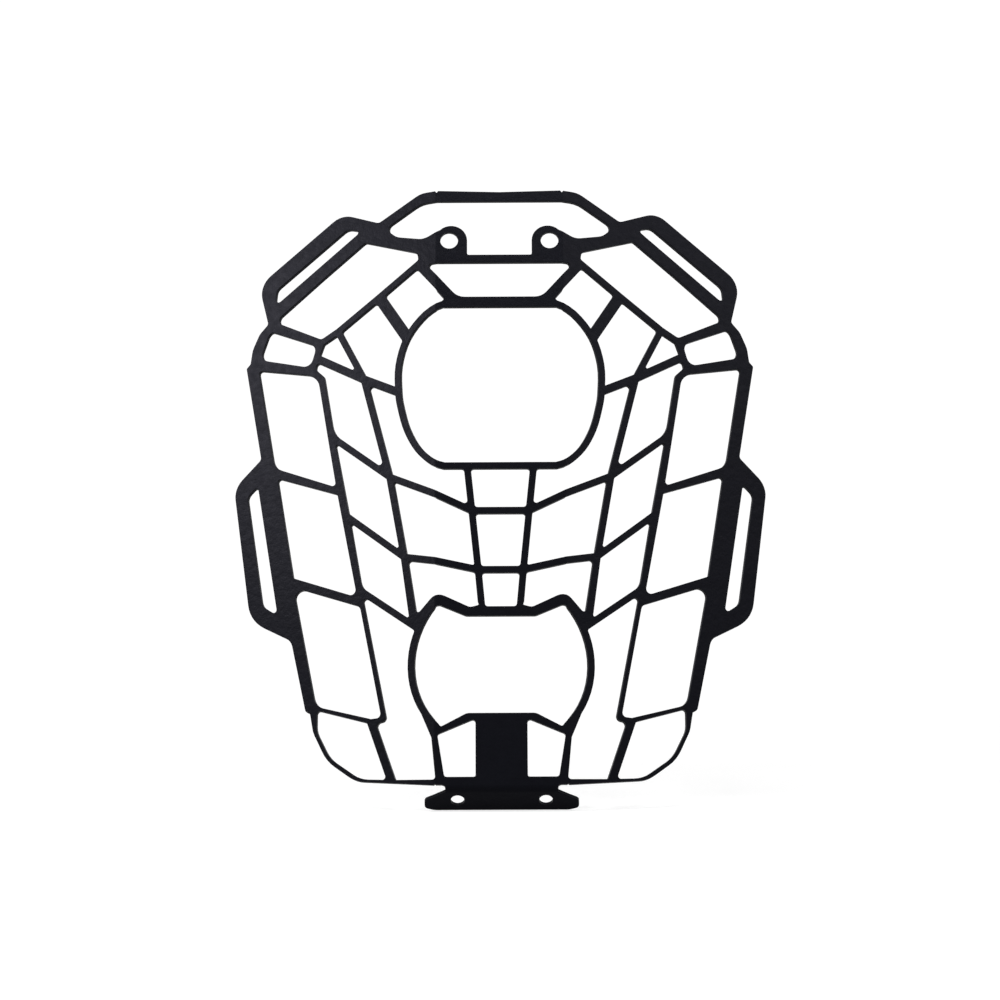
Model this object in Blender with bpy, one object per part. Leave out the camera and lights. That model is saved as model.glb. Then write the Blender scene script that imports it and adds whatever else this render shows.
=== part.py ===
"""Motorcycle headlight guard.

One steel sheet, cut by laser into an open lattice and folded along three lines:
two side wings go back along upright folds, and a mounting flange goes back
along the foot. The blank is drawn flat in millimetres, as (across, up) on the
front face, at its full thickness, scored where the folds run and then folded by
a formula. The guard leans back as it does on the bike, with its front to -Y and
+Z up. The origin is on the back face, in the middle of the brow bar that
carries the two upper tabs.
"""

import math

import bmesh
import bpy
from mathutils import Vector

MM = 0.001
WELD = 0.00005

# Sheet and folds
SHEET = 2.0
BEND_INSIDE_RADIUS = 2.0
FOLD_HALF_SPAN = 32.5
WING_ANGLE = math.radians(20.0)
FLANGE_ANGLE = math.radians(57.0)
LEAN = math.radians(20.0)
WING_FOLD_FACETS = 3
FLANGE_FOLD_FACETS = 8

# Bar widths
RIM = 4.6
RIM_SIDE = 5.1
RIM_STEP = 3.4
RIM_HEEL = 1.8
RIM_FOOT = 2.1
TOP_BAR = 5.0
CROWN_BAR = 5.5
BROW_BAR = 4.2
STOUT = 3.9
BAR = 3.2
STRUT = 5.7
RING = 3.2
FINE = 2.1

# Corners
CORNER = 1.5
FIRM_CORNER = 0.8
CHORD_ERROR = 0.05
CURVE_STEPS = 4
SHORTEST_STEP = 0.15
NEARLY_STRAIGHT = 0.05

# Mounting holes
UPPER_HOLE = 9.5
UPPER_HOLE_HALF_SPAN = 25.9
UPPER_HOLE_RISE = 10.4
UPPER_TAB_RADIUS = 8.1
UPPER_TAB_INSET = 1.0
LOWER_HOLE = 7.0
LOWER_HOLE_HALF_SPAN = 21.4
LOWER_HOLE_DROP = 9.2
FLANGE_MARGIN = 6.1

# Heights on the blank, each from the line above it. Zero is the brow bar.
TOP_HEIGHT = 37.7
TOP_RISE = 0.8
CROWN_DROP = 24.2
LAMP_HEIGHT = 89.5
HIGH_RUNG_DROP = 23.9
LOW_RUNG_DROP = 31.1
CHIN_DROP = 21.3
LOWER_LAMP_DROP = 27.0
LOWER_RING_RADIUS = 43.6
LOWER_RING_RISE = 29.3
LOWER_RING_FALL = 30.9
FOOT_DROP = 61.2
FLANGE_LINE_DROP = 0.3

CROWN = -CROWN_DROP
RING_FOOT = CROWN - LAMP_HEIGHT
RUNG_HIGH = RING_FOOT - HIGH_RUNG_DROP
RUNG_LOW = RUNG_HIGH - LOW_RUNG_DROP
CHIN = RUNG_LOW - CHIN_DROP
LOWER_LAMP = CHIN - LOWER_LAMP_DROP
BOTTOM_EDGE = LOWER_LAMP - FOOT_DROP
FLANGE_LINE = BOTTOM_EDGE - FLANGE_LINE_DROP

# The two folds end in small notches
NOTCH_HALF = 0.9
NOTCH_DEPTH = 1.1
FOOT_NOTCH_DEPTH = 0.5

# The flange stands clear of the lattice beside it by a slot
FLANGE_NECK_HALF = 27.2
FLANGE_SLOT_TOP = BOTTOM_EDGE - 4.1
FLANGE_EAR_HALF = 37.3

TONGUE_HALF = 12.5
NAME = "headlight_guard"


def smooth_curve(points):
    """Points along a smooth curve that passes through every given point."""
    ends = [points[0]] + list(points) + [points[-1]]
    curve = []
    for index in range(len(points) - 1):
        before, start, end, after = (Vector(p) for p in ends[index:index + 4])
        for step in range(CURVE_STEPS):
            t = step / CURVE_STEPS
            slope_start = (end - before) / 2
            slope_end = (after - start) / 2
            curve.append(
                start * (2 * t**3 - 3 * t**2 + 1)
                + slope_start * (t**3 - 2 * t**2 + t)
                + end * (3 * t**2 - 2 * t**3)
                + slope_end * (t**3 - t**2)
            )
    curve.append(Vector(points[-1]))
    return [tuple(p) for p in curve]


def arc_steps(radius, angle):
    """How many straight steps follow an arc to within the chord error."""
    widest = 2 * math.acos(max(0.0, 1.0 - CHORD_ERROR / radius))
    return max(2, math.ceil(abs(angle) / widest))


def arc(centre, radius, start, end):
    """Points on an arc from the start angle to the end angle, in degrees."""
    start, end = math.radians(start), math.radians(end)
    count = arc_steps(radius, end - start)
    return [
        (
            centre[0] + radius * math.cos(start + (end - start) * i / count),
            centre[1] + radius * math.sin(start + (end - start) * i / count),
        )
        for i in range(count + 1)
    ]


def signed_area(points):
    return sum(
        a[0] * b[1] - b[0] * a[1] for a, b in zip(points, points[1:] + points[:1])
    ) / 2


def set_in(points, cuts):
    """Move each side of a closed anticlockwise loop inwards by its own cut."""
    points = [Vector(p) for p in points]
    count = len(points)
    ways = [(points[(i + 1) % count] - points[i]).normalized() for i in range(count)]
    inward = [Vector((-way.y, way.x)) for way in ways]
    moved = []
    for i in range(count):
        last = i - 1
        turn = ways[last].cross(ways[i])
        if abs(turn) < NEARLY_STRAIGHT:
            step = (inward[last] * cuts[last] + inward[i] * cuts[i]) / 2
            moved.append(points[i] + step)
            continue
        start = points[i] + inward[last] * cuts[last]
        target = points[i] + inward[i] * cuts[i]
        along = (target - start).cross(ways[i]) / turn
        moved.append(start + ways[last] * along)
    return [tuple(p) for p in moved]


def without_short_steps(points):
    kept = [points[0]]
    for point in points[1:]:
        if math.dist(point, kept[-1]) > SHORTEST_STEP:
            kept.append(point)
    if math.dist(kept[0], kept[-1]) <= SHORTEST_STEP:
        kept.pop()
    return kept


def round_off(points, radii):
    """Turn the corners of a closed loop into arcs.

    A corner that its arc would move by less than the chord error stays.
    """
    count = len(points)
    rounded = []
    for i in range(count):
        corner = Vector(points[i])
        back = Vector(points[i - 1]) - corner
        ahead = Vector(points[(i + 1) % count]) - corner
        between = back.angle(ahead)
        turn = math.pi - between
        if radii[i] * (1 / math.cos(turn / 2) - 1) < CHORD_ERROR:
            rounded.append(tuple(corner))
            continue
        reach = radii[i] * math.tan(turn / 2)
        reach = min(reach, 0.48 * back.length, 0.48 * ahead.length)
        radius = reach / math.tan(turn / 2)
        start = corner + back.normalized() * reach
        end = corner + ahead.normalized() * reach
        middle_way = (back.normalized() + ahead.normalized()).normalized()
        centre = corner + middle_way * math.hypot(radius, reach)
        spoke = start - centre
        steps = arc_steps(radius, turn)
        sense = 1.0 if (corner - start).cross(end - corner) > 0 else -1.0
        for step in range(steps + 1):
            angle = sense * turn * step / steps
            rounded.append((
                centre.x + spoke.x * math.cos(angle) - spoke.y * math.sin(angle),
                centre.y + spoke.x * math.sin(angle) + spoke.y * math.cos(angle),
            ))
    return without_short_steps(rounded)


def window(*path, radius=CORNER):
    """A lattice window: places and, after each, the set-in of its next side.

    A place is one point, or a list of points where the side is curved. A point
    may carry its own corner radius as a third value.
    """
    points, cuts, radii = [], [], []
    for place, cut in zip(path[::2], path[1::2]):
        run = place if isinstance(place, list) else [place]
        for index, point in enumerate(run):
            points.append(point[:2])
            cuts.append(cut)
            radii.append(point[2] if len(point) > 2 else radius)
    if signed_area(points) < 0:
        points.reverse()
        cuts = cuts[-2::-1] + cuts[-1:]
        radii.reverse()
    return round_off(set_in(points, cuts), radii)


def mirrored(loop):
    return [(-u, v) for u, v in reversed(loop)]


def both_halves(*path, head, foot, radius=CORNER):
    """A window across the middle, from the places on its right half."""
    places, cuts = list(path[::2]), list(path[1::2])
    flat, flat_cuts = [], []
    for index, place in enumerate(places):
        run = place if isinstance(place, list) else [place]
        cut = cuts[index] if index < len(cuts) else foot
        for point in run:
            flat.append(point)
            flat_cuts.append(cut)
    left = [(-p[0],) + tuple(p[1:]) for p in reversed(flat)]
    left_cuts = flat_cuts[-2::-1] + [head]
    sides = []
    for point, cut in zip(flat + left, flat_cuts + left_cuts):
        sides += [point, cut]
    return window(*sides, radius=radius)


def on_lower_ring(clearance, angle):
    """A place outside the lower lamp opening, by its angle above the level."""
    reach = LOWER_RING_RADIUS + clearance
    angle = math.radians(angle)
    return (reach * math.cos(angle), LOWER_LAMP + reach * math.sin(angle))


def on_upper_ring(across, share):
    """A place on the upper lamp's ring, by its share of the opening's height."""
    return (across, CROWN - LAMP_HEIGHT * share)


# Places where the bars meet, right half of the blank, from the brow down
brow_end = (42.1, -0.9)
cheek_top = (64.2, -16.7)
knee = (86.9, -32.5)
shoulder = (96.5, -37.7)
shoulder_mid = (99.3, -45.3)
shoulder_low = (101.0, -52.9)
hip = (95.7, -58.1)
cross_high = (72.2, -61.1)
rim_notch = (126.2, -24.0)
rim_step = (137.2, -44.5)
crown_corner = (25.1, CROWN + 2.6)
ring_temple = on_upper_ring(48.4, 0.195)
ring_side = on_upper_ring(53.0, 0.523)
ring_corner = (28.1, RING_FOOT)
fork = (90.0, RING_FOOT + 23.7)
rim_elbow = (126.4, RING_FOOT + 10.7)
cross_mid = (57.5, RING_FOOT - 2.7)
strip_high = (84.3, RING_FOOT - 7.4)
rail_top = (16.7, RING_FOOT)
rail_high = (14.3, RUNG_HIGH)
strip_mid = (81.0, RUNG_HIGH + 3.4)
rail_mid = (11.2, RUNG_LOW)
cross_low = (49.3, RUNG_LOW + 8.6)
strip_fork = (73.5, RUNG_LOW - 5.6)
strip_low = (71.9, RUNG_LOW - 12.8)
rail_low = (9.3, CHIN)
jaw = on_lower_ring(4.8, 24.9)
jaw_inside = on_lower_ring(6.3, 28.6)
web_elbow = (LOWER_RING_RADIUS + 15.6, LOWER_LAMP - 26.1)
web_foot = (LOWER_RING_RADIUS + 22.6, LOWER_LAMP - 26.3)
rim_heel = (100.8, LOWER_LAMP - 15.4)
keel = (54.4, BOTTOM_EDGE + 2.0)

ring_places = [
    (26.4, CROWN), on_upper_ring(38.4, 0.065), ring_temple,
    on_upper_ring(53.0, 0.359), ring_side, on_upper_ring(51.6, 0.624),
    on_upper_ring(48.1, 0.761), on_upper_ring(42.1, 0.886),
    on_upper_ring(34.3, 0.973), ring_corner,
]
upper_ring = smooth_curve(ring_places)
at_temple = ring_places.index(ring_temple) * CURVE_STEPS
at_side = ring_places.index(ring_side) * CURVE_STEPS
ring_top_half = math.sqrt(LOWER_RING_RADIUS**2 - LOWER_RING_RISE**2)
ring_bottom_half = math.sqrt(LOWER_RING_RADIUS**2 - LOWER_RING_FALL**2)
upper_hole_at = (UPPER_HOLE_HALF_SPAN, UPPER_HOLE_RISE)
upper_tab_at = (UPPER_HOLE_HALF_SPAN - UPPER_TAB_INSET, UPPER_HOLE_RISE)
lower_hole_at = (LOWER_HOLE_HALF_SPAN, FLANGE_LINE - LOWER_HOLE_DROP)


def outline():
    """The blank's outer edge, right half from the top to the foot."""
    shoulder_edge = TOP_HEIGHT + TOP_RISE
    flange_edge = FLANGE_LINE - LOWER_HOLE_DROP - FLANGE_MARGIN
    notch_in = FOLD_HALF_SPAN - NOTCH_HALF
    notch_out = FOLD_HALF_SPAN + NOTCH_HALF
    half = [
        (0.0, TOP_HEIGHT, 0),
        (notch_in, shoulder_edge, 0),
        (FOLD_HALF_SPAN, shoulder_edge - NOTCH_DEPTH, 0),
        (notch_out, shoulder_edge, 0),
        (41.3, shoulder_edge, 11.5),
        (64.7, 25.4, 3),
        (85.5, 33.8, 11),
        (132.2, 0.4, 12),
        (126.4, -22.5, 2),
        (131.2, -27.5, 6.5),
        (135.0, -35.9, 12),
        (136.0, -43.7, 2),
        (138.2, -45.9, 1),
        (128.5, RING_FOOT + 15.9, 2.5),
        (143.4, RING_FOOT + 1.9, 12),
        (132.5, CHIN + 5.7, 17.5),
        (109.7, CHIN - 7.1, 7),
        (101.1, LOWER_LAMP - 17.8, 1.8),
        (98.6, LOWER_LAMP - 19.1, 1),
        (96.8, LOWER_LAMP - 28.9, 12.5),
        (89.3, BOTTOM_EDGE + 17.0, 23),
        (74.0, BOTTOM_EDGE + 5.4, 17),
        (notch_out, BOTTOM_EDGE, 0),
        (FOLD_HALF_SPAN, BOTTOM_EDGE + FOOT_NOTCH_DEPTH, 0),
        (notch_in, BOTTOM_EDGE, 0),
        (FLANGE_NECK_HALF, BOTTOM_EDGE, 1.9),
        (FLANGE_NECK_HALF, FLANGE_SLOT_TOP, 0.5),
        (32.8, FLANGE_LINE - 7.0, 3),
        (FLANGE_EAR_HALF, FLANGE_LINE - 9.3, 1.9),
        (FLANGE_EAR_HALF, flange_edge + 1.4, 2),
        (32.6, flange_edge, 6),
        (0.0, flange_edge, 0),
    ]
    points = [p[:2] for p in half] + [(-p[0], p[1]) for p in half[-2:0:-1]]
    radii = [p[2] for p in half] + [p[2] for p in half[-2:0:-1]]
    return round_off(points, radii)


def side_windows():
    """Every window that stands whole on the right half."""
    bar, stout, strut = BAR / 2, STOUT / 2, STRUT / 2
    fine, ring = FINE / 2, RING / 2
    lower_ring_outside = arc(
        (0.0, LOWER_LAMP), LOWER_RING_RADIUS + ring, -32.8, 24.0)
    return [
        # slot in the upper ear
        window((74.4, 22.5), 0, (82.2, 24.9, 5), 0, (122.1, -3.6, 4.5), 0,
               (122.9, -12.9, 1.8), 0),
        # shoulder window
        window((42.9, 5.1, 4.5), 0, (72.2, 15.6), 0, (95.5, -1.3), 0,
               (124.5, -23.1, 3), stout, (shoulder[0], shoulder[1], 2.5), bar, knee,
               bar, cheek_top, bar,
               brow_end, 0),
        # small window below it
        window(rim_notch, stout, shoulder, bar, shoulder_low, stout,
               (136.4, -42.5), RIM_SIDE, (132.4, -31.3), RIM_STEP, radius=4.4),
        # strip along the rim: upper, middle and lower window
        window((shoulder_low[0], shoulder_low[1], 7), stout, rim_step, RIM_SIDE,
               (rim_elbow[0], rim_elbow[1], 8.5), bar, strip_high, bar, fork, bar,
               (hip[0], hip[1], 7.5), bar),
        window(strip_high, bar, (strip_low[0], strip_low[1], 2.5), stout,
               (109.1, RUNG_LOW + 2.2), 0,
               (119.8, RING_FOOT + 6.5), bar),
        window(strip_low, fine, (web_elbow[0], web_elbow[1], 7), fine, web_foot,
               fine, (rim_heel[0], rim_heel[1], 8), RIM,
               (115.1, RUNG_LOW + 4.3, 4.0), stout, radius=3.5),
        # foot corner
        window(web_foot, fine, (97.1, LOWER_LAMP - 16.0), RIM_HEEL,
               (97.1, LOWER_LAMP - 28.9, 11.5), RIM_HEEL,
               (89.3, BOTTOM_EDGE + 17.0, 19), RIM_HEEL,
               (71.6, BOTTOM_EDGE + 3.9, 16.5), RIM_FOOT, keel, stout),
        # long window beside the lower lamp opening
        window(strip_fork, fine, (web_elbow[0], web_elbow[1], 2.5), fine,
               (web_foot[0], web_foot[1], 3), stout, keel, RIM_FOOT,
               (30.1, BOTTOM_EDGE), bar,
               (ring_bottom_half + 1.8, LOWER_LAMP - 37.2), bar,
               lower_ring_outside, ring, jaw, bar),
        # beside the tongue
        window((TONGUE_HALF, LOWER_LAMP - 28.0, 1.5), 0,
               (TONGUE_HALF, BOTTOM_EDGE + 3.6, 1), 0,
               (27.9, BOTTOM_EDGE + 3.6, 1.5), 0,
               (ring_bottom_half + 0.6, LOWER_LAMP - 36.1, 1.5), 0),
        # diamond and its neighbours round the upper lamp opening
        window(brow_end, strut, crown_corner, ring, upper_ring[1:at_temple], ring,
               ring_temple, strut, cheek_top, bar),
        window(cheek_top, strut, upper_ring[at_temple:at_side], ring, ring_side,
               stout, cross_high, bar, knee, bar),
        window(knee, bar, cross_high, stout, shoulder_mid, stout, shoulder, bar,
               radius=FIRM_CORNER),
        window(shoulder_mid, stout, cross_high, bar, cross_mid, bar,
               (fork[0], fork[1], 13.5), bar, (hip[0], hip[1], 3), stout,
               shoulder_low, bar),
        window(cross_high, stout, upper_ring[at_side:-1], ring, ring_corner,
               bar, rail_top, ring, rail_high, bar, cross_mid, bar),
        # between the lamp openings
        window(fork, bar, cross_mid, bar, cross_low, bar, strip_mid, bar,
               radius=FIRM_CORNER),
        window(strip_mid, bar, cross_low, bar, jaw, bar,
               (strip_fork[0], strip_fork[1], 8), bar, radius=FIRM_CORNER),
        window(cross_mid, bar, rail_high, ring, rail_mid, bar, cross_low, bar,
               radius=FIRM_CORNER),
        window(cross_low, bar, rail_mid, ring, rail_low, 0,
               (10.5, CHIN + 2.8), 0, (15.3, CHIN + 1.5, 3.5), 0,
               (31.9, CHIN + 9.4, 6), 0, jaw_inside, bar),
        # slot in the side ear
        window((130.1, RING_FOOT + 1.9), 0, (136.0, RING_FOOT - 3.6, 4.5), 0,
               (126.1, CHIN + 12.8, 6), 0, (117.4, CHIN + 6.7), 0),
    ]


def middle_windows():
    """Every window that crosses the middle of the guard."""
    ring = RING / 2
    tab = arc(upper_tab_at, UPPER_TAB_RADIUS, 45.0, 180.0)
    ring_top = math.degrees(math.atan2(LOWER_RING_RISE, ring_top_half))
    ring_bottom = math.degrees(math.atan2(LOWER_RING_FALL, ring_bottom_half))
    return [
        # loop above the brow bar, round the two upper tabs
        both_halves(
            (41.3, TOP_HEIGHT - TOP_BAR, 13.5), 0, (61.2, 21.5, 3.0), 0,
            (54.8, 15.8, 8.5), 0, (39.6, 12.1, 9), 0, tab, 0,
            (upper_tab_at[0] - UPPER_TAB_RADIUS, BROW_BAR / 2, 1),
            head=0, foot=0),
        # between the brow bar and the crown of the upper lamp opening
        both_halves((44.1, 0.0), STRUT / 2, (23.0, CROWN, 8),
                    head=BROW_BAR / 2, foot=CROWN_BAR / 2),
        # upper lamp opening
        both_halves(upper_ring[:-1], ring, ring_corner, head=CROWN_BAR / 2,
                    foot=BAR / 2),
        # ladder
        both_halves(rail_top, ring, rail_high, head=BAR / 2, foot=BAR / 2),
        both_halves(rail_high, ring, rail_mid, head=BAR / 2, foot=BAR / 2),
        both_halves(rail_mid, ring, rail_low, head=BAR / 2, foot=STOUT / 2),
        # lower lamp opening
        both_halves((17.1, CHIN - 2.7, 3.5), 0, (ring_top_half - 1.9, CHIN + 3.0, 2), 0,
                    arc((0.0, LOWER_LAMP), LOWER_RING_RADIUS, ring_top,
                        -ring_bottom), 0,
                    (ring_bottom_half - 1.1, LOWER_LAMP - 32.5, 1), 0,
                    (16.8, LOWER_LAMP - 25.6, 4.5), head=0, foot=0),
    ]


def hole(centre, diameter):
    return arc(centre, diameter / 2, 0.0, 360.0)[:-1]


def blank_loops():
    sides = side_windows()
    sides.append(hole(upper_hole_at, UPPER_HOLE))
    sides.append(hole(lower_hole_at, LOWER_HOLE))
    return [outline()] + middle_windows() + sides + [mirrored(w) for w in sides]


def flat_blank(name, loops):
    """The sheet as it leaves the laser: flat, with the front face up."""
    curve = bpy.data.curves.new(name, "CURVE")
    curve.dimensions = "2D"
    curve.fill_mode = "BOTH"
    curve.extrude = SHEET * MM / 2
    for loop in loops:
        spline = curve.splines.new("POLY")
        spline.points.add(len(loop) - 1)
        spline.use_cyclic_u = True
        for point, (u, v) in zip(spline.points, loop):
            point.co = (u * MM, v * MM, 0.0, 1.0)
    holder = bpy.data.objects.new(name + "_curve", curve)
    bpy.context.scene.collection.objects.link(holder)
    bpy.context.view_layer.update()
    seen = holder.evaluated_get(bpy.context.evaluated_depsgraph_get())
    mesh = bpy.data.meshes.new_from_object(seen)
    bpy.data.objects.remove(holder)
    return mesh


def score(body, places, direction):
    """Cut new edges straight across the sheet where a fold needs them."""
    for place in places:
        bmesh.ops.bisect_plane(
            body,
            geom=body.verts[:] + body.edges[:] + body.faces[:],
            dist=WELD,
            plane_co=Vector(direction) * place,
            plane_no=direction,
        )


def facet_places(start, angle, facets):
    """Where a bend's facets meet, on the front face."""
    length = angle * (BEND_INSIDE_RADIUS + SHEET) * MM
    return [start + length * facet / facets for facet in range(facets + 1)]


def bend(distance, depth, angle):
    """Fold one point. Returns how far along it lands, and how far back.

    The distance is measured on the front face from the start of the bend, and
    the depth from the front face, which is the outside of every bend.
    """
    radius = (BEND_INSIDE_RADIUS + SHEET) * MM
    turned = min(max(distance / radius, 0.0), angle)
    straight = distance - turned * radius
    along = (radius - depth) * math.sin(turned) + straight * math.cos(turned)
    back = radius - (radius - depth) * math.cos(turned) + straight * math.sin(turned)
    return along, back


def fold(body, wing_start, flange_start):
    """Fold the scored blank and stand it up, with the front face to -Y."""
    for vertex in body.verts:
        u, v = vertex.co.x, vertex.co.y
        depth = SHEET * MM / 2 - vertex.co.z
        back = depth
        if v < flange_start:
            along, back = bend(flange_start - v, depth, FLANGE_ANGLE)
            v = flange_start - along
        elif abs(u) > wing_start:
            along, back = bend(abs(u) - wing_start, depth, WING_ANGLE)
            u = math.copysign(wing_start + along, u)
        vertex.co = (u, back - SHEET * MM, v)


def guard_mesh():
    mesh = flat_blank(NAME, blank_loops())
    wing_arc = WING_ANGLE * (BEND_INSIDE_RADIUS + SHEET)
    wing_start = (FOLD_HALF_SPAN - wing_arc / 2) * MM
    flange_start = FLANGE_LINE * MM
    body = bmesh.new()
    body.from_mesh(mesh)
    bmesh.ops.remove_doubles(body, verts=body.verts, dist=WELD)
    places = facet_places(wing_start, WING_ANGLE, WING_FOLD_FACETS)
    score(body, places, (1.0, 0.0, 0.0))
    score(body, places, (-1.0, 0.0, 0.0))
    places = facet_places(-flange_start, FLANGE_ANGLE, FLANGE_FOLD_FACETS)
    score(body, places, (0.0, -1.0, 0.0))
    bmesh.ops.remove_doubles(body, verts=body.verts, dist=WELD)
    bmesh.ops.recalc_face_normals(body, faces=body.faces)
    fold(body, wing_start, flange_start)
    bmesh.ops.triangulate(body, faces=body.faces)
    body.to_mesh(mesh)
    body.free()
    return mesh


def powder_coat():
    material = bpy.data.materials.new("black_powder_coat")
    material.use_nodes = True
    shader = material.node_tree.nodes["Principled BSDF"]
    shader.inputs["Base Color"].default_value = (0.012, 0.012, 0.014, 1.0)
    shader.inputs["Roughness"].default_value = 0.5
    shader.inputs["Metallic"].default_value = 0.0
    return material


def main():
    for old in list(bpy.data.objects):
        bpy.data.objects.remove(old)
    mesh = guard_mesh()
    mesh.materials.clear()
    mesh.materials.append(powder_coat())
    guard = bpy.data.objects.new(NAME, mesh)
    collection = bpy.data.collections.new("motorcycle_headlight_guard")
    bpy.context.scene.collection.children.link(collection)
    collection.objects.link(guard)
    guard.rotation_euler = (-LEAN, 0.0, 0.0)


main()
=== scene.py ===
"""Looks of the motorcycle headlight guard: powder coat, studio and camera."""

import math

import bmesh
import bpy
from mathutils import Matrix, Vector
from mathutils.geometry import delaunay_2d_cdt


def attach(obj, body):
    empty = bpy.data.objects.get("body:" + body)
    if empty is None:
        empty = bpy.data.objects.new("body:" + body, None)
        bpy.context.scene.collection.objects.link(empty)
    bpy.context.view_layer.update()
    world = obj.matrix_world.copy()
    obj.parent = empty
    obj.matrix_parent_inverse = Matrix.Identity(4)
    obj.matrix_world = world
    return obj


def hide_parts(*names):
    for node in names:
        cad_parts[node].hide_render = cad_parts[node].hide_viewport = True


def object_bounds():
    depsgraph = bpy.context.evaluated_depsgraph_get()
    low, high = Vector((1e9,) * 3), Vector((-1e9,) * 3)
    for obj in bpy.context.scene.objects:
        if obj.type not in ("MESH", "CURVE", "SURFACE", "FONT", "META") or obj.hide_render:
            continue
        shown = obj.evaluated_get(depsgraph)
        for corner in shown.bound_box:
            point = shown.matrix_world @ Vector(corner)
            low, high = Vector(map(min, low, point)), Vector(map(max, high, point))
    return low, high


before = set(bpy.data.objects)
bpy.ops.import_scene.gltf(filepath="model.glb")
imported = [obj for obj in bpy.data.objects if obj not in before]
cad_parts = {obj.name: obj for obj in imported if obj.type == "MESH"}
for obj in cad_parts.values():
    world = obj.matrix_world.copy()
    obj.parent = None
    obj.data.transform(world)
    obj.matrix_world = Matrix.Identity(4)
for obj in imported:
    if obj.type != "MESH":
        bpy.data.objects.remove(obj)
cad_low, cad_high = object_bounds()

GUARD = "headlight_guard"
MM = 0.001

# Camera, fitted to the photograph
CAMERA_AT = (0.0, -1.5331, -0.1236)
CAMERA_ROLL = math.radians(0.2541)
LENS = 107.1
SENSOR_WIDTH = 36.0
SHIFT_X = -0.0005

# Powder coat: its colour and its roughness vary between two values each
COAT_DARK = (0.0031, 0.0033, 0.0050, 1.0)
COAT_LIGHT = (0.0039, 0.0043, 0.0064, 1.0)
COAT_IOR = 1.45
GLOSS_TINT = (0.853, 0.83, 1.0, 1.0)
GLOSS_LEVEL = 0.057
SMOOTHEST = 0.34
ROUGHEST = 0.42

# Noises of the coat: fine grain, orange peel and cloudy mottle
GRAIN_SIZE = 0.9 * MM
PEEL_SIZE = 3.5 * GRAIN_SIZE
MOTTLE_SIZE = 9.0 * MM
# The part of a noise's range that is spread from one value to the other
NOISE_LOW = 0.3
NOISE_HIGH = 0.7
# Relief: the grain counts for this much of the peel
GRAIN_SHARE = 0.45
BUMP_STRENGTH = 0.9
BUMP_HEIGHT = 0.17 * MM

# Coated sheet, with its cut edges rounded
COAT_THICKNESS = 0.15 * MM
EDGE_RADIUS = 0.25 * MM
# How far the middle of a quarter round lies inside its corner, as a share
ROUND_DEPTH = 1.0 - math.sqrt(0.5)
# Least divisor of a mitre, so that a sharp corner doesn't run out
LEAST_MITRE = 0.25
# Faces that turn by less than this are one surface, or one flat part of it
ONE_SURFACE = math.radians(40.0)
ONE_PLANE = math.radians(0.5)
# A flat part with no more faces than this is a strip of a bend
BEND_STRIP = 12
SAME_POINT = 0.01 * MM
# Triangulation in millimetres, which keeps the triangles inside the rim
INSIDE_RIM = 1
CUT_TOLERANCE = 1e-4
# How often roundings that meet may be halved
TRIES = 8

# Sweep: its profile and its colour
WHITE = (1.0, 1.0, 1.0, 1.0)
SWEEP_HALF_WIDTH = 4.0
SWEEP_FRONT = -4.0
SWEEP_BACK = 1.6
SWEEP_RADIUS = 0.8
SWEEP_HEIGHT = 3.2
SWEEP_STEPS = 16
FLOOR_GAP = 0.5 * MM
FLOOR_COLOUR = 0.35
FLOOR_ROUGHNESS = 0.9

# Glow that makes the sweep look white, at two distances from under the guard
GLOW_NEAR = 0.77
GLOW_FAR = 1.0
NEAR = 0.22
FAR = 1.1

# Light of the world on the guard, and on the floor
WORLD_LEVEL = 0.04

# Square lamps: place, target, side and power in watts
MIDDLE = (0.0, 0.0, -0.1)
LEFT_WING = (-0.125, 0.032, -0.055)
LAMPS = {
    "key": ((-0.548, -0.283, 0.325), LEFT_WING, 0.23, 3.66),
    "right_fill": ((0.9, -0.5, 0.9), MIDDLE, 0.6, 5.7),
    "near_top": ((0.0, -0.3, 0.8), MIDDLE, 0.5, 5.2),
}


def add_object(name, data):
    thing = bpy.data.objects.new(name, data)
    bpy.context.scene.collection.objects.link(thing)
    return thing


def new_material(name):
    """A material with its node tree and its shader."""
    material = bpy.data.materials.new(name)
    material.use_nodes = True
    tree = material.node_tree
    return material, tree, tree.nodes["Principled BSDF"]


def set_inputs(node, values):
    for socket, value in values.items():
        node.inputs[socket].default_value = value


def link(tree, start, start_socket, end, end_socket):
    tree.links.new(start.outputs[start_socket], end.inputs[end_socket])


def math_node(tree, operation):
    node = tree.nodes.new("ShaderNodeMath")
    node.operation = operation
    return node


def noise(tree, place, size, detail, rough):
    node = tree.nodes.new("ShaderNodeTexNoise")
    set_inputs(node, {"Scale": 1.0 / size, "Detail": detail, "Roughness": rough})
    link(tree, place, "Object", node, "Vector")
    return node


def ranged(tree, source, socket, start, end, low, high):
    """Map a value from start..end to low..high."""
    node = tree.nodes.new("ShaderNodeMapRange")
    set_inputs(node, {
        "From Min": start,
        "From Max": end,
        "To Min": low,
        "To Max": high,
    })
    link(tree, source, socket, node, "Value")
    return node


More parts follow.
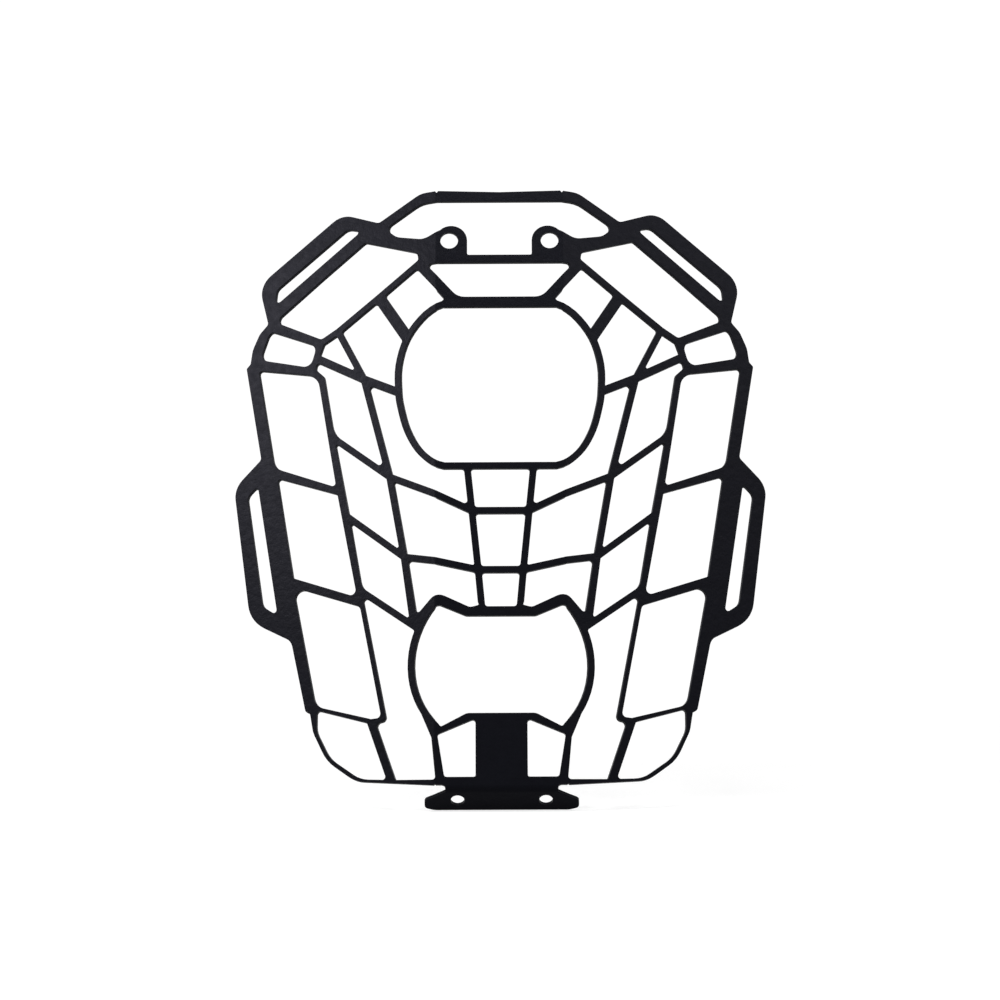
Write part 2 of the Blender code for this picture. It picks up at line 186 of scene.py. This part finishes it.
def powder_coat():
    """Black powder coat: fine orange peel, slightly uneven tone and gloss."""
    material, tree, shader = new_material("black_powder_coat")
    set_inputs(shader, {
        "Metallic": 0.0,
        "IOR": COAT_IOR,
        "Specular IOR Level": GLOSS_LEVEL,
        "Specular Tint": GLOSS_TINT,
    })
    place = tree.nodes.new("ShaderNodeTexCoord")
    grain = noise(tree, place, GRAIN_SIZE, detail=3.0, rough=0.6)
    peel = noise(tree, place, PEEL_SIZE, detail=2.0, rough=0.5)
    mottle = noise(tree, place, MOTTLE_SIZE, detail=4.0, rough=0.55)

    tone = tree.nodes.new("ShaderNodeMix")
    tone.data_type = "RGBA"
    set_inputs(tone, {"A": COAT_DARK, "B": COAT_LIGHT})
    spread = ranged(tree, mottle, "Fac", NOISE_LOW, NOISE_HIGH, 0.0, 1.0)
    link(tree, spread, "Result", tone, "Factor")
    link(tree, tone, "Result", shader, "Base Color")

    gloss = ranged(tree, peel, "Fac", NOISE_LOW, NOISE_HIGH, SMOOTHEST, ROUGHEST)
    link(tree, gloss, "Result", shader, "Roughness")

    height = math_node(tree, "MULTIPLY_ADD")
    height.inputs[1].default_value = GRAIN_SHARE
    link(tree, grain, "Fac", height, 0)
    link(tree, peel, "Fac", height, 2)
    bump = tree.nodes.new("ShaderNodeBump")
    set_inputs(bump, {"Strength": BUMP_STRENGTH, "Distance": BUMP_HEIGHT})
    link(tree, height, "Value", bump, "Height")
    link(tree, bump, "Normal", shader, "Normal")
    return material


def mean_way(ways):
    total = Vector()
    for way in ways:
        total += way
    return total.normalized()


def grown(faces, limit):
    """Groups of faces joined across edges that turn by less than the limit."""
    left = dict.fromkeys(faces)
    groups = []
    while left:
        group = [left.popitem()[0]]
        for face in group:
            for edge in face.edges:
                for other in edge.link_faces:
                    if other in left and face.normal.angle(other.normal, 0.0) < limit:
                        del left[other]
                        group.append(other)
        groups.append(group)
    return groups


def sides_of(triangle):
    return list(zip(triangle, triangle[1:] + triangle[:1]))


def between(triangles, rim):
    """The triangles to the left of the directed rim, so not those in windows."""
    touching = {}
    for triangle in triangles:
        for start, end in sides_of(triangle):
            touching.setdefault(frozenset((start, end)), []).append(tuple(triangle))
    walls = {frozenset(pair) for pair in rim}
    kept = dict.fromkeys(tuple(one) for one in triangles
                         if any(pair in rim for pair in sides_of(one)))
    queue = list(kept)
    for one in queue:
        for pair in sides_of(one):
            if frozenset(pair) in walls:
                continue
            for other in touching[frozenset(pair)]:
                if other not in kept:
                    kept[other] = None
                    queue.append(other)
    return queue


class RoundedSheet:
    """The folded sheet with its coat on and its cut edges rounded.

    The faces of the sheet and the walls of the cut lie the coat's thickness
    outside the steel, and end where the rounding begins. Where two roundings
    would meet, they are made smaller, and so is the coat on their walls.
    """

    def __init__(self, source):
        self.body = bmesh.new()
        self.body.from_mesh(source)
        bmesh.ops.remove_doubles(self.body, verts=self.body.verts, dist=SAME_POINT)
        self.body.normal_update()
        self.sort_faces()
        self.find_ways()
        # The share of the full rounding that has room at each point
        self.room = dict.fromkeys(self.body.verts, 1.0)
        for _ in range(TRIES):
            self.round_edges()
            if not self.cramped:
                break
            for vert in self.cramped:
                self.room[vert] *= 0.5

    def sort_faces(self):
        """Tell the faces of the sheet from the walls of the cut."""
        surfaces = grown(self.body.faces, ONE_SURFACE)
        surfaces.sort(key=lambda group: sum(face.calc_area() for face in group))
        # Kept in order, so that every run cuts the panels alike
        self.sheet = dict.fromkeys(surfaces[-1] + surfaces[-2])
        self.panels = [group for group in grown(self.sheet, ONE_PLANE)
                       if len(group) > BEND_STRIP]
        self.panel_of = {face: i for i, group in enumerate(self.panels) for face in group}

    def find_ways(self):
        """For each point, the way the sheet faces and the ways of its walls."""
        self.up = {}
        self.walls = {}
        for vert in self.body.verts:
            sheet = [face for face in vert.link_faces if face in self.sheet]
            flat = {self.panel_of[face]: face.normal.copy()
                    for face in sheet if face in self.panel_of}
            ways = list(flat.values()) or [face.normal for face in sheet]
            self.up[vert] = mean_way(ways)
            self.walls[vert] = [
                face.normal.copy() for edge in vert.link_edges
                if any(face in self.sheet for face in edge.link_faces)
                for face in edge.link_faces if face not in self.sheet]

    def round_edges(self):
        """Place the points of the rounded sheet and join them by faces."""
        self.places = []
        self.faces = []
        self.normals = []
        self.cramped = set()
        self.on_sheet = {}
        self.on_corner = {}
        self.on_wall = {}
        for vert in self.body.verts:
            self.place_vert(vert)
        for group in self.panels:
            self.add_panel(group)
        for face in self.body.faces:
            if face not in self.sheet:
                self.add_face(face.verts, [self.on_wall[vert] for vert in face.verts],
                              [self.wall_way(vert, face) for vert in face.verts])
            elif face not in self.panel_of:
                self.add_face(face.verts, [self.on_sheet[vert] for vert in face.verts],
                              [self.up[vert] for vert in face.verts])
        for edge in self.body.edges:
            self.add_rounding(edge)

    def place_vert(self, vert):
        """One point inside the sheet, or the three of a rounding at its rim."""
        room, up, walls = self.room[vert], self.up[vert], self.walls[vert]
        coated = vert.co + up * COAT_THICKNESS
        if len(walls) < 2:
            self.on_sheet[vert] = self.add_place(coated)
            return
        radius = EDGE_RADIUS * room
        out = (walls[0] + walls[1]) / max(LEAST_MITRE, 1.0 + walls[0].dot(walls[1]))
        coated += out * COAT_THICKNESS * room
        self.on_sheet[vert] = self.add_place(coated - out * radius)
        self.on_corner[vert] = self.add_place(coated - (out + up) * radius * ROUND_DEPTH)
        self.on_wall[vert] = self.add_place(coated - up * radius)

    def add_place(self, point):
        self.places.append(Vector(point))
        return len(self.places) - 1

    def add_face(self, verts, points, ways):
        """Add a triangle or a quad, and note its points if it is turned over."""
        self.faces.append(points)
        self.normals += ways
        corner = [self.places[i] for i in points]
        turned = (corner[2] - corner[0]).cross(corner[-1] - corner[1])
        if turned.dot(mean_way(ways)) <= 0.0:
            self.cramped.update(verts)

    def wall_way(self, vert, face):
        near = [way for way in self.walls[vert] if way.angle(face.normal) < ONE_SURFACE]
        return mean_way(near) if near else face.normal.copy()

    def add_panel(self, group):
        """Cut a flat part of the sheet into triangles inside its new rim."""
        members = set(group)
        up = mean_way([face.normal * face.calc_area() for face in group])
        across = up.orthogonal().normalized()
        along = up.cross(across)
        border = [loop for face in group for loop in face.loops
                  if loop.link_loop_radial_next.face not in members]
        verts = list(dict.fromkeys(loop.vert for loop in border))
        number = {vert: i for i, vert in enumerate(verts)}
        flat = []
        for vert in verts:
            point = self.places[self.on_sheet[vert]] / MM
            flat.append(Vector((point.dot(across), point.dot(along))))
        rim = [(number[loop.vert], number[loop.link_loop_next.vert]) for loop in border]
        points, edges, triangles, sources, parts, _ = delaunay_2d_cdt(
            flat, rim, [], INSIDE_RIM, CUT_TOLERANCE)
        for edge, part in zip(edges, parts):
            if len(part) > 1 or not all(sources[i] for i in edge):
                self.cramped.update(verts[i] for one in part for i in rim[one])
        if len(points) > len(flat):
            # Sides of the rim cross, and the next try has smaller roundings there
            return
        ours = [verts[source[0]] for source in sources]
        place_of = {source[0]: i for i, source in enumerate(sources)}
        cut_rim = {(place_of[a], place_of[b]) for a, b in rim
                   if a in place_of and b in place_of}
        for triangle in between(triangles, cut_rim):
            self.faces.append([self.on_sheet[ours[i]] for i in triangle])
            self.normals += [up.copy()] * 3

    def add_rounding(self, edge):
        """Add the two strips of a quarter round where the sheet meets a wall."""
        loops = {loop.face in self.sheet: loop for loop in edge.link_loops}
        if len(loops) < 2:
            return
        wall = loops[False].face
        # Against the wall's own direction, so that the strips face outwards
        ends = [loops[False].link_loop_next.vert, loops[False].vert]
        ups = [self.up[vert] for vert in ends]
        outs = [self.wall_way(vert, wall) for vert in ends]
        mids = [mean_way(pair) for pair in zip(ups, outs)]
        rows = [(self.on_wall, outs), (self.on_corner, mids), (self.on_sheet, ups)]
        for (low, low_ways), (high, high_ways) in zip(rows, rows[1:]):
            points = [low[vert] for vert in ends] + [high[vert] for vert in ends[::-1]]
            self.add_face(ends, points, low_ways + high_ways[::-1])

    def mesh(self, name):
        mesh = bpy.data.meshes.new(name)
        mesh.from_pydata(self.places, [], self.faces)
        mesh.shade_smooth()
        mesh.normals_split_custom_set(self.normals)
        self.body.free()
        return mesh


def dress_guard():
    """Show the sheet with rounded cut edges in its powder coat."""
    mesh = RoundedSheet(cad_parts[GUARD].data).mesh("coated_guard")
    mesh.materials.append(powder_coat())
    piece = add_object("coated_guard", mesh)
    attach(piece, "root")
    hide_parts(GUARD)


def seen_directly(tree):
    """1 for rays from the camera, off gloss or through glass, else 0."""
    rays = tree.nodes.new("ShaderNodeLightPath")
    seen = math_node(tree, "MAXIMUM")
    link(tree, rays, "Is Camera Ray", seen, 0)
    link(tree, rays, "Is Glossy Ray", seen, 1)
    through = math_node(tree, "MAXIMUM")
    link(tree, seen, "Value", through, 0)
    link(tree, rays, "Is Transmission Ray", through, 1)
    return through


def white_sweep():
    """A plain pale surface that reads as white and still takes shadows."""
    material, tree, shader = new_material("sweep_white")
    set_inputs(shader, {
        "Base Color": (FLOOR_COLOUR, FLOOR_COLOUR, FLOOR_COLOUR, 1.0),
        "Roughness": FLOOR_ROUGHNESS,
        "Specular IOR Level": 0.0,
        "Emission Color": WHITE,
    })
    place = tree.nodes.new("ShaderNodeTexCoord")
    away = tree.nodes.new("ShaderNodeVectorMath")
    away.operation = "LENGTH"
    link(tree, place, "Object", away, "Vector")
    glow = ranged(tree, away, "Value", NEAR, FAR, GLOW_NEAR, GLOW_FAR)
    level = math_node(tree, "MULTIPLY")
    link(tree, seen_directly(tree), "Value", level, 0)
    link(tree, glow, "Result", level, 1)
    link(tree, level, "Value", shader, "Emission Strength")
    return material


def studio_sweep():
    """A floor that turns up into a backdrop well behind the guard."""
    profile = [(SWEEP_FRONT, 0.0), (SWEEP_BACK, 0.0)]
    for step in range(1, SWEEP_STEPS + 1):
        angle = math.radians(90.0 * step / SWEEP_STEPS)
        profile.append((SWEEP_BACK + SWEEP_RADIUS * math.sin(angle),
                        SWEEP_RADIUS * (1.0 - math.cos(angle))))
    profile.append((SWEEP_BACK + SWEEP_RADIUS, SWEEP_HEIGHT))
    vertices = []
    for y, z in profile:
        vertices.append((-SWEEP_HALF_WIDTH, y, z))
        vertices.append((SWEEP_HALF_WIDTH, y, z))
    faces = [(2 * i, 2 * i + 1, 2 * i + 3, 2 * i + 2) for i in range(len(profile) - 1)]
    mesh = bpy.data.meshes.new("sweep")
    mesh.from_pydata(vertices, [], faces)
    mesh.shade_smooth()
    mesh.materials.append(white_sweep())
    sweep = add_object("sweep", mesh)
    sweep.location = (0.0, 0.0, cad_low.z - FLOOR_GAP)


def white_surroundings():
    """A world that looks white and lights the guard only faintly."""
    world = bpy.data.worlds.new("studio")
    world.use_nodes = True
    tree = world.node_tree
    background = tree.nodes["Background"]
    background.inputs["Color"].default_value = WHITE
    level = ranged(tree, seen_directly(tree), "Value", 0.0, 1.0, WORLD_LEVEL, 1.0)
    link(tree, level, "Result", background, "Strength")
    bpy.context.scene.world = world


def light_studio():
    for name, (place, target, side, power) in LAMPS.items():
        data = bpy.data.lights.new(name, "AREA")
        data.shape = "SQUARE"
        data.size = side
        data.energy = power
        light = add_object(name, data)
        light.location = place
        way = Vector(target) - Vector(place)
        light.rotation_euler = way.to_track_quat("-Z", "Y").to_euler()


def place_camera():
    data = bpy.data.cameras.new("camera")
    data.lens = LENS
    data.sensor_width = SENSOR_WIDTH
    data.shift_x = SHIFT_X
    camera = add_object("camera", data)
    camera.location = CAMERA_AT
    camera.rotation_euler = (math.radians(90.0), CAMERA_ROLL, 0.0)
    bpy.context.scene.camera = camera


dress_guard()
studio_sweep()
white_surroundings()
light_studio()
place_camera()
bpy.context.scene.view_settings.view_transform = "Standard"
